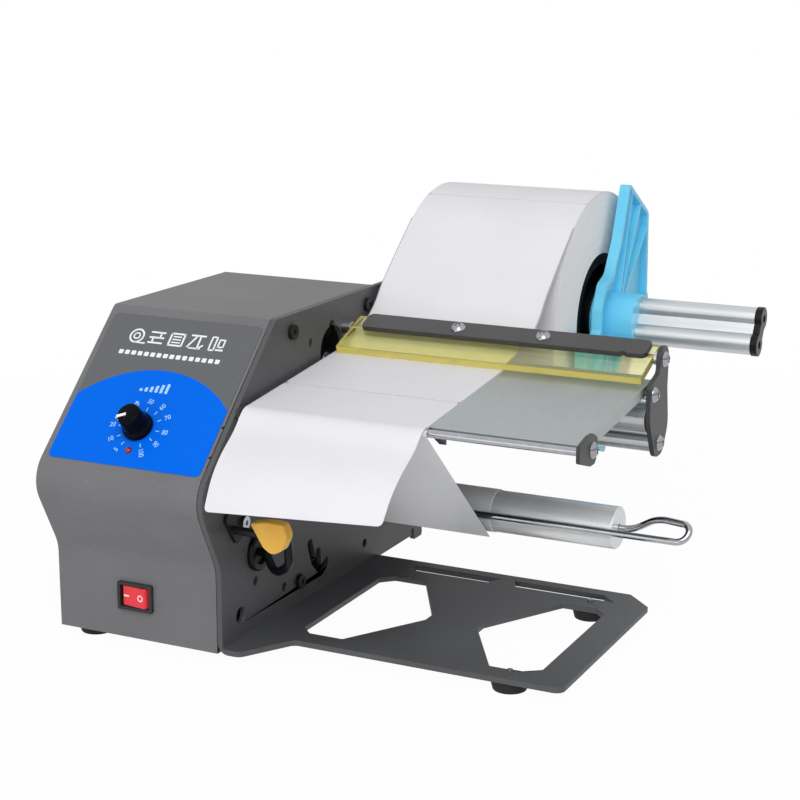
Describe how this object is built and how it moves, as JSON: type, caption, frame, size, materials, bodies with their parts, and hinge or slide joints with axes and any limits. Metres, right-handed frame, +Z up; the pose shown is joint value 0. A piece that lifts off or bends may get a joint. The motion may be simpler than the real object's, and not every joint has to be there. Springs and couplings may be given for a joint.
{
  "type": "label dispenser machine",
  "caption": "Desk machine that draws a label roll over a peel edge, peels each label off its liner and winds the liner onto a driven shaft.",
  "frame": {"origin": "middle of the overall box, on the plane under the feet", "axes": "+X to the right along the rollers, +Y to the back toward the label roll, +Z up"},
  "size_m": [0.3118, 0.3522, 0.2195],
  "materials": {
    "grey_paint": "satin",
    "sticker_print": "gloss",
    "black_plastic": "matte",
    "knob_mark": "matte",
    "red_plastic": "gloss",
    "lamp_red": "gloss",
    "foot_rubber": "matte",
    "brushed_steel": "brushed",
    "polished_steel": "polished",
    "platform_sheet": "satin",
    "acrylic": "gloss",
    "dark_metal": "satin",
    "black_steel": "satin",
    "aluminium": "satin",
    "bronze": "satin",
    "nylon": "matte",
    "motor_metal": "satin",
    "blue_plastic": "satin",
    "core_card": "matte",
    "label_paper": "matte",
    "liner_paper": "satin",
    "amber_plastic": "satin",
    "circuit_board": "matte",
    "supply_metal": "satin"
  },
  "bodies": {
    "frame": {"side_base_plate": "grey_paint", "front_top_cover": "grey_paint", "left_cover": "grey_paint", "floor_panel": "grey_paint", "cover_screws": "black_steel", "side_screws": "black_steel", "rubber_feet": "foot_rubber", "foot_screws": "polished_steel", "control_sticker": "sticker_print", "potentiometer": "motor_metal", "pot_nut": "polished_steel", "power_lamp": "lamp_red", "switch_body": "black_plastic", "peel_platform": "platform_sheet", "peel_rod": "polished_steel", "front_brackets": "dark_metal", "rod_support": "black_steel", "tie_rods": "aluminium", "link_bracket": "dark_metal", "roller_axle": "polished_steel", "rod_screws": "polished_steel", "presser_pivots": "polished_steel", "presser_spacers": "black_plastic", "winder_bearing": "bronze", "gear_motor": "motor_metal", "motor_plate": "black_steel", "motor_posts": "brushed_steel", "inner_screws": "polished_steel", "roll_shaft": "aluminium", "shaft_end_cap": "black_plastic", "shaft_mount_block": "aluminium", "inner_guide_disc": "blue_plastic", "label_web": "label_paper", "peeled_label": "label_paper", "backing_liner": "liner_paper", "sensor_hood": "amber_plastic", "sensor_bracket": "black_steel", "sensor_screw": "polished_steel", "sensor_cable": "black_plastic", "cable_grommet": "black_plastic", "control_board": "circuit_board", "power_supply": "supply_metal", "mains_inlet": "black_plastic"},
    "speed_knob": {"speed_knob": "black_plastic", "knob_pointer": "knob_mark"},
    "switch_rocker": {"switch_rocker": "red_plastic"},
    "presser": {"presser_plate": "acrylic", "presser_bar": "dark_metal", "presser_screws": "polished_steel"},
    "guide_roller": {"guide_roller": "aluminium"},
    "winder": {"winder_shaft": "brushed_steel", "winder_gear": "nylon", "liner_wrap": "liner_paper"},
    "winder_clip": {"winder_clip": "polished_steel"},
    "motor_drive": {"drive_gear": "nylon", "motor_shaft": "polished_steel"},
    "roll": {"label_roll": "label_paper", "roll_core": "core_card", "core_plugs": "black_plastic"},
    "outer_flange": {"outer_flange": "blue_plastic"}
  },
  "joints": [
    {"name": "knob_turn", "type": "hinge", "parent": "frame", "child": "speed_knob", "pos_m": [-0.10578, -0.14781, 0.11692], "axis": [0, -0.697, 0.7171], "range_deg": [-267, 37]},
    {"name": "rocker_tip", "type": "hinge", "parent": "frame", "child": "switch_rocker", "pos_m": [-0.10668, -0.15086, 0.0291], "axis": [0, 0, 1], "range_deg": [0, 14]},
    {"name": "presser_lift", "type": "hinge", "parent": "frame", "child": "presser", "pos_m": [-0.05558, -0.02135, 0.15073], "axis": [-1, 0, 0], "range_deg": [0, 25]},
    {"name": "guide_roller_spin", "type": "hinge", "parent": "frame", "child": "guide_roller", "pos_m": [-0.05558, -0.03236, 0.12262], "axis": [1, 0, 0], "continuous": true},
    {"name": "roll_spin", "type": "hinge", "parent": "frame", "child": "roll", "pos_m": [-0.05558, 0.10314, 0.1435], "axis": [1, 0, 0], "continuous": true},
    {"name": "winder_spin", "type": "hinge", "parent": "frame", "child": "winder", "pos_m": [-0.05558, -0.04436, 0.066], "axis": [1, 0, 0], "continuous": true},
    {"name": "motor_spin", "type": "hinge", "parent": "frame", "child": "motor_drive", "pos_m": [-0.05558, -0.08936, 0.066], "axis": [1, 0, 0], "continuous": true},
    {"name": "clip_pull", "type": "slide", "parent": "winder", "child": "winder_clip", "axis": [1, 0, 0], "range_m": [0, 0.115]},
    {"name": "flange_slide", "type": "slide", "parent": "frame", "child": "outer_flange", "axis": [1, 0, 0], "range_m": [0, 0.06]}
  ],
  "couplings": [
    {"joint": "winder_spin", "follows": "roll_spin", "ratio": 6.4035},
    {"joint": "motor_spin", "follows": "roll_spin", "ratio": -12.807}
  ]
}
